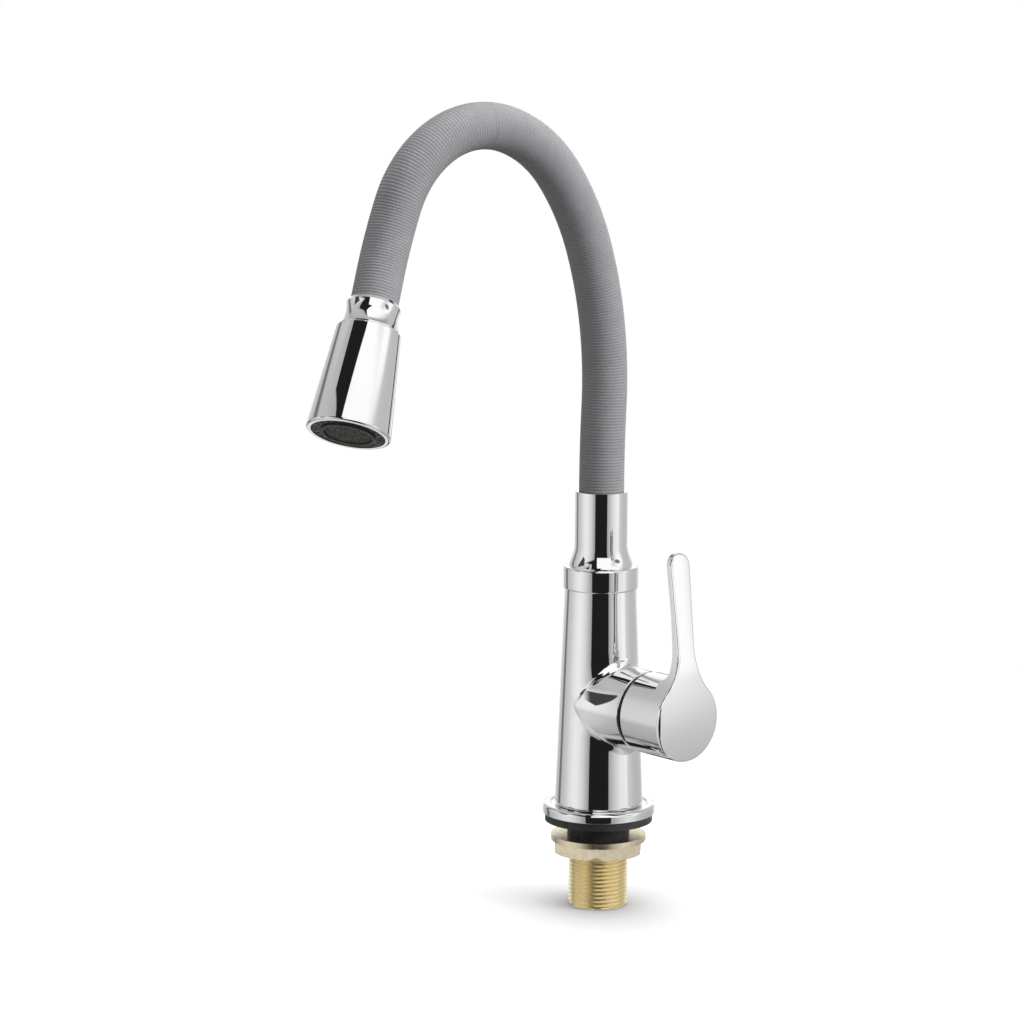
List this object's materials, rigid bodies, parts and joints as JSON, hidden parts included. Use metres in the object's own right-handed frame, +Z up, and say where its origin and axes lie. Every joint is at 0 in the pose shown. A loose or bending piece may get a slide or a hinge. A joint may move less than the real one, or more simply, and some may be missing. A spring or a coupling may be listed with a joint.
{
  "type": "flexible spout sink tap",
  "caption": "Single lever sink tap on a threaded shank, with a bendable ribbed gooseneck spout and a bell shaped spray head that slides between spray and stream.",
  "frame": {"origin": "on the column's axis in the deck plane, at the underside of the rubber base washer", "axes": "+Z up along the column, -Y the way the spout reaches over the sink, +X the lever boss"},
  "size_m": [0.0824, 0.1964, 0.359],
  "materials": {
    "chrome": "polished",
    "grey_sleeve": "satin, finely ribbed",
    "brass": "as machined",
    "nickel_brass": "nickel plated",
    "black_rubber": "matt",
    "black_plastic": "matt",
    "white_plastic": "satin",
    "grey_plastic": "satin",
    "clear_tube": "smooth",
    "steel": "satin",
    "core_metal": "satin",
    "ceramic": "polished ceramic"
  },
  "bodies": {
    "tap_body": {"threaded_shank": "brass", "shank_seal": "black_rubber", "back_nut": "nickel_brass", "centring_sleeve": "black_plastic", "base_washer": "black_rubber", "base_flange": "chrome", "body_casting": "chrome", "top_collar": "chrome", "slip_ring_lower": "white_plastic", "slip_ring_upper": "white_plastic", "seat_seal": "black_rubber", "ceramic_disc_fixed": "ceramic", "cartridge_body": "brass", "boss_spacer": "black_plastic"},
    "lever": {"lever_handle": "chrome", "lever_screw": "steel", "lever_plug": "black_plastic", "spindle": "brass", "spindle_ring": "black_rubber", "ceramic_disc_moving": "ceramic"},
    "spout_foot": {"swivel_stem": "brass", "swivel_ring_lower": "black_rubber", "swivel_ring_upper": "black_rubber", "spout_socket": "chrome", "hose_ferrule_lower": "brass", "gooseneck_link_1": "core_metal", "hose_sleeve": "grey_sleeve", "water_tube": "clear_tube"},
    "spout_riser": {"gooseneck_link_2": "core_metal"},
    "spout_crown": {"gooseneck_link_3": "core_metal"},
    "spout_end": {"gooseneck_link_4": "core_metal", "hose_ferrule_upper": "brass", "head_neck": "chrome", "neck_ring": "black_rubber", "stop_collar": "white_plastic", "diverter_stem": "brass", "diverter_seal": "black_rubber"},
    "spray_head": {"spray_bell": "chrome", "water_guide": "white_plastic", "face_ring": "black_plastic", "aerator_housing": "grey_plastic", "aerator_mesh": "steel", "aerator_seal": "black_rubber"}
  },
  "joints": [
    {"name": "lever_turn", "type": "hinge", "parent": "tap_body", "child": "lever", "pos_m": [0.045, 0, 0.0543], "axis": [1, 0, 0], "range_deg": [0, 90]},
    {"name": "spout_swivel", "type": "hinge", "parent": "tap_body", "child": "spout_foot", "pos_m": [0, 0, 0.1151], "axis": [0, 0, 1], "continuous": true},
    {"name": "riser_bend", "type": "hinge", "parent": "spout_foot", "child": "spout_riser", "pos_m": [0, 0.0008, 0.20837], "axis": [1, 0, 0], "range_deg": [-15, 25], "deforming": ["hose_sleeve", "water_tube"]},
    {"name": "crown_bend", "type": "hinge", "parent": "spout_riser", "child": "spout_crown", "pos_m": [0, -0.02777, 0.29009], "axis": [1, 0, 0], "range_deg": [-30, 20], "deforming": ["hose_sleeve", "water_tube"]},
    {"name": "end_bend", "type": "hinge", "parent": "spout_crown", "child": "spout_end", "pos_m": [0, -0.10751, 0.29056], "axis": [1, 0, 0], "range_deg": [-30, 25], "deforming": ["hose_sleeve", "water_tube"]},
    {"name": "spray_mode", "type": "slide", "parent": "spout_end", "child": "spray_head", "axis": [0.231, -0.415, -0.88], "range_m": [0, 0.004]}
  ]
}
